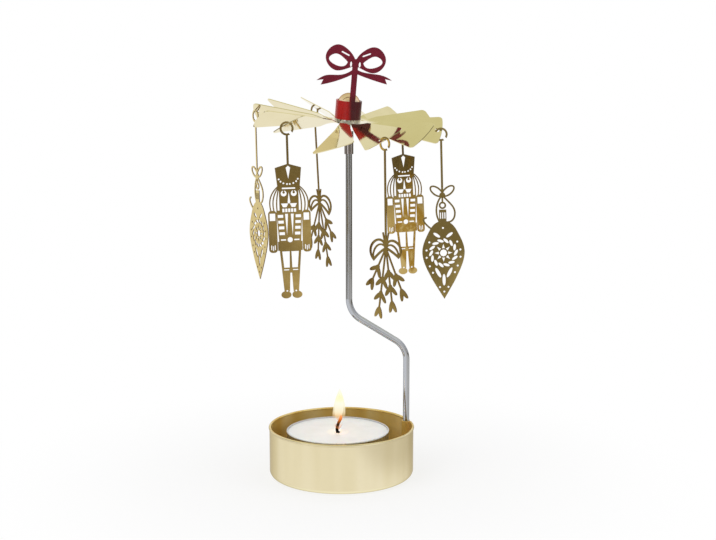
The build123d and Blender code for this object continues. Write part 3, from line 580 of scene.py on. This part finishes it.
def etched_gold(name, axis, deep, bright):
    """Bright faces with a roll grain, brown matt edges where the surface is square to axis."""
    material = new_finish(name, Metallic=1.0)
    direction = add_node(material, "ShaderNodeTexCoord").outputs["Normal"]
    along = vector_node(material, "DOT_PRODUCT", direction, axis)
    face = spread(material, math_node(material, "ABSOLUTE", along), *face_turn)
    film = grain(material, size=0.008, detail=2.0)
    mottle = grain(material, size=0.0012, detail=4.0)
    roll = grain(material, size=0.0005, detail=4.0, stretch=(1, 1, 0.1))
    mixed = mean_of(material, film, mottle, share=0.6)
    bright_face = shades(material, mixed, deep, bright, reach=mixed_reach)
    connect(material, "Base Color", two_tone(material, face, edge_brown, bright_face))
    rolled = spread(material, roll, *pattern_reach, *face_polish)
    etched = math_node(material, "MULTIPLY", math_node(material, "SUBTRACT", 1.0, face), edge_matt)
    connect(material, "Roughness", math_node(material, "ADD", rolled, etched))
    ripple(material, film, depth=sheet_wave)
    return material


ornament_golds = {
    "nutcracker": ((207, 178, 109), (221, 196, 132)),
    "bauble": ((201, 177, 108), (215, 196, 136)),
    "mistletoe": ((201, 174, 104), (218, 194, 128)),
}
for kind, gold in ornament_golds.items():
    for number in (1, 2):
        ornament = f"{kind}_{number}"
        dress(ornament, etched_gold(f"{ornament}_gold", swing_axis[f"{ornament}_swing"], *gold))
print("ornaments dressed:", 2 * len(ornament_golds))

# %% [markdown]
# The stage is a white tent on a round white floor. Polished metal needs something darker to
# reflect, or it looks like paper. A picture of a room could surround us, but plain tones can be
# put just where a mirror needs them. So mirrors see a tent with grey parts: the front, where the
# camera stands, the roof, and dark flags on the left and the right. The tone follows from the
# direction alone: each part below has a pair of shares of its axis, over which its grey fades in.

# %% Tent as mirrors see it
front_way = (-0.96, -0.50)
front_grey = 0.58
left_way = (-0.97, -0.82)
left_grey = 0.40
right_way = (0.80, 0.96)
right_grey = 0.55
roof_way = (0.35, 0.80)
roof_grey = 0.76


def tent_tone(tree, way):
    """Brightness of the tent in a direction: the product of four smooth steps, one toward -Y,
    one each toward -X and +X, and one upward. It is 1 elsewhere."""
    axes = add_node(tree, "ShaderNodeSeparateXYZ", Vector=way).outputs
    front = spread(tree, axes["Y"], *front_way, front_grey, 1.0)
    left = spread(tree, axes["X"], *left_way, left_grey, 1.0)
    right = spread(tree, axes["X"], *right_way, 1.0, right_grey)
    roof = spread(tree, axes["Z"], *roof_way, 1.0, roof_grey)
    return math_node(tree, "MULTIPLY", front, left, right, roof)


print("tent, darkest to lightest grey part:", left_grey, "to", roof_grey)

# %% [markdown]
# Most reflections end on the floor, because we look down a little. There mirrors see white paper
# only close by. It ends in front and at the sides, where the dim studio begins, and it has a
# tongue, a card and a strip in front, as a photographer would lay them out. Each edge is a pair
# of places in metres over which the tone fades. The strip's is a pair of cosines instead, because
# it runs outward in one direction.

# %% Floor as mirrors see it
front_edge = (-0.50, -0.16)
front_dim = 0.33
far_right_edge = (0.25, 0.55)
far_right_dim = 0.15
left_edge = (-0.40, -0.20)
left_dim = 0.31
back_edge = (-0.02, 0.05)
back_slope = 0.48
right_edge = (0.32, 0.55)
right_dim = 0.25
right_front_edge = (-0.50, -0.35)
tongue_edges = ((0.050, 0.095), (-0.75, -0.40))
card_edges = ((0.08, 0.20), (-1.38, -0.60))
strip_way = (-0.50, -0.866, 0)
strip_edge = (0.955, 0.985)
tin_side = (0.02, 0.06)
tin_shade = 0.76


def sheet_corner(tree, x, y, side, end):
    """White sheet to the right of side and behind end: the product of two smooth steps."""
    return math_node(tree, "MULTIPLY", spread(tree, x, *side), spread(tree, y, *end))


def paper_tone(tree, place):
    """Brightness of the floor as a mirror sees it. Where sheets overlap the lightest counts, and
    the dim left and right sides and the shade beside the tin multiply it. The left side is dim
    only in front of a slanting line, and the right side only behind its own front edge."""
    axes = add_node(tree, "ShaderNodeSeparateXYZ", Vector=place).outputs
    x, y = axes["X"], axes["Y"]
    studio = spread(tree, x, *far_right_edge, front_dim, far_right_dim)
    front = spread(tree, y, *front_edge, studio, 1.0)
    tongue = sheet_corner(tree, x, y, *tongue_edges)
    card = sheet_corner(tree, x, y, *card_edges)
    sheets = math_node(tree, "MAXIMUM", front, tongue, card)
    slant = math_node(tree, "ADD", y, math_node(tree, "MULTIPLY", x, back_slope))
    behind = spread(tree, slant, *back_edge)
    left = math_node(tree, "MAXIMUM", spread(tree, x, *left_edge, left_dim, 1.0), behind)
    before = spread(tree, y, *right_front_edge, 1.0, 0.0)
    right = math_node(tree, "MAXIMUM", spread(tree, x, *right_edge, 1.0, right_dim), before)
    toward = vector_node(tree, "DOT_PRODUCT", vector_node(tree, "NORMALIZE", place), strip_way)
    strip = spread(tree, toward, *strip_edge)
    shade = spread(tree, x, *tin_side, 1.0, tin_shade)
    paper = math_node(tree, "MAXIMUM", math_node(tree, "MULTIPLY", sheets, left), strip)
    return math_node(tree, "MULTIPLY", paper, shade, right)


print("white paper ends in m, in front:", front_edge[0], "left:", left_edge[0], "right:", right_edge[1])

# %% [markdown]
# The floor itself is a flat disc, far larger than the object, so that mirrors find it wherever
# they look down. A plain square would do as well, but a disc fades out alike on all sides. It is
# one more grid of rings, with a fan of triangles in the middle, where the rings crowd together.

# %% Floor shape
floor_radius = 4.0


def floor_disc(name, radius, rings=24, sides=96):
    """Flat disc: ring k of the grid lies at radius * (k / rings) ** 2, fine near the middle."""
    reach = radius * (np.arange(1, rings + 1)[:, None] / rings) ** 2
    turn = np.linspace(0.0, 2 * np.pi, sides, endpoint=False)
    x = reach * np.cos(turn)
    y = reach * np.sin(turn)
    points = np.concatenate([np.stack([x, y, 0 * x], axis=-1).reshape(-1, 3), [[0.0, 0.0, 0.0]]])
    return mesh_piece(name, points, ring_faces(rings, sides)[:, ::-1], pole_faces(0, sides, rings * sides))


floor = floor_disc("floor", floor_radius)
print("floor radius in m:", floor_radius, "faces:", len(floor.data.polygons))

# %% [markdown]
# Close to the tin the floor is a plain matt white that keeps the shadow; further out it fades
# into pure white, so that its edge cannot be told from the background. It glows only for rays
# that come from the camera, a mirror or a clear surface, so matt surfaces get no light from it.
# The camera sees the glow white, and mirrors see the paper and the warm, dim studio.

# %% Floor finish
shadow_reach = (0.03, 0.14)
shadow_white = 0.72
studio_colour = (1.0, 0.87, 0.60)
white = (1.0, 1.0, 1.0)

floor_white = new_finish("floor_white", Roughness=0.9, Specular_IOR_Level=0.1)
floor_cloud = grain(floor_white, size=0.2)
connect(floor_white, "Base Color", shades(floor_white, floor_cloud, (243, 243, 243), (247, 247, 247)))
ray = add_node(floor_white, "ShaderNodeLightPath").outputs
seen_by = [ray["Is Camera Ray"], ray["Is Glossy Ray"], ray["Is Transmission Ray"]]
seen = math_node(floor_white, "ADD", *seen_by, clamp=True)
floor_place = add_node(floor_white, "ShaderNodeTexCoord").outputs["Object"]
away = vector_node(floor_white, "LENGTH", floor_place)
fade = spread(floor_white, away, *shadow_reach, shadow_white, 1.0)
fade = math_node(floor_white, "MAXIMUM", fade, ray["Is Glossy Ray"])
whiteness = math_node(floor_white, "MULTIPLY", seen, fade)
bright = math_node(floor_white, "MAXIMUM", paper_tone(floor_white, floor_place), ray["Is Camera Ray"])
glow_colour = two_tone(floor_white, bright, studio_colour, white)
glow = add_node(floor_white, "ShaderNodeEmission", Color=glow_colour, Strength=bright).outputs[0]
matt = floor_white.node_tree.nodes["Principled BSDF"].outputs[0]
blend = add_node(floor_white, "ShaderNodeMixShader", i0=whiteness, i1=matt, i2=glow).outputs[0]
feed(floor_white, floor_white.node_tree.nodes["Material Output"].inputs["Surface"], blend)
floor.data.materials.append(floor_white)
print("floor nodes:", len(floor_white.node_tree.nodes), "shadow fades out at m:", shadow_reach[1])

# %% [markdown]
# A single sun would throw a hard shadow. Three large soft panels give the shading instead: a key
# at the upper left, a weaker one on the right and a wide one above. Mirrors see the tent in place
# of them, so that no vane shows a burnt-out patch. A small warm lamp in the flame lights the wax
# and the tin.

# %% Lamps
def panel(name, place, aim, width, height, watts):
    """Soft rectangular lamp at place, leaning from straight down and then turned to face aim."""
    data = bpy.data.lights.new(name, "AREA")
    data.shape = "RECTANGLE"
    data.size = width
    data.size_y = height
    data.energy = watts
    lamp = bpy.data.objects.new(name, data)
    lamp.location = place
    way = np.array(aim) - np.array(place)
    lean = math.acos(-way[2] / np.linalg.norm(way))
    heading = math.atan2(way[1], way[0]) - math.pi / 2
    lamp.rotation_euler = (lean, 0, heading)
    lamp.visible_glossy = False
    scene.collection.objects.link(lamp)
    return lamp


middle = (0.0, 0.0, 0.08)
panel("key_panel", (-0.60, -0.50, 0.70), middle, width=0.70, height=0.70, watts=3.0)
panel("fill_panel", (0.75, -0.25, 0.40), middle, width=0.60, height=0.70, watts=1.4)
panel("top_panel", (0.0, 0.10, 0.95), middle, width=1.00, height=1.00, watts=3.4)

flame_heart = (candle_x + 0.0006, 0.0, flame_foot + 0.0095)
flame_lamp = bpy.data.lights.new("flame_lamp", "POINT")
flame_lamp.energy = 0.0012
flame_lamp.color = (1.0, 0.66, 0.34)
flame_lamp.shadow_soft_size = 0.002
flame_lamp_place = bpy.data.objects.new("flame_lamp", flame_lamp)
flame_lamp_place.location = flame_heart
scene.collection.objects.link(flame_lamp_place)
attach(flame_lamp_place, "tealight")

# %% [markdown]
# The world is the tent itself. The camera sees it pure white, mirrors see its greys with a warm
# roof, and for everything else it is a soft fill at less than half strength.

# %% World
fill_strength = 0.45
warm_roof = (1.0, 1.0, 0.72)

tent = bpy.data.worlds.new("tent")
tent.use_nodes = True
scene.world = tent
tent_ray = add_node(tent, "ShaderNodeLightPath").outputs
in_mirror = tent_ray["Is Glossy Ray"]
tent_way = add_node(tent, "ShaderNodeTexCoord").outputs["Generated"]
mirror_sees = math_node(tent, "MULTIPLY", in_mirror, tent_tone(tent, tent_way))
fill = math_node(tent, "MULTIPLY", math_node(tent, "SUBTRACT", 1.0, in_mirror), fill_strength)
direct = math_node(tent, "ADD", tent_ray["Is Camera Ray"], tent_ray["Is Transmission Ray"], clamp=True)
strength = math_node(tent, "MAXIMUM", direct, math_node(tent, "ADD", mirror_sees, fill))
upward = add_node(tent, "ShaderNodeSeparateXYZ", Vector=tent_way).outputs["Z"]
overhead = math_node(tent, "MULTIPLY", spread(tent, upward, *roof_way), in_mirror)
background = tent.node_tree.nodes["Background"]
feed(tent, background.inputs["Color"], two_tone(tent, overhead, white, warm_roof))
feed(tent, background.inputs["Strength"], strength)
print("world nodes:", len(tent.node_tree.nodes))
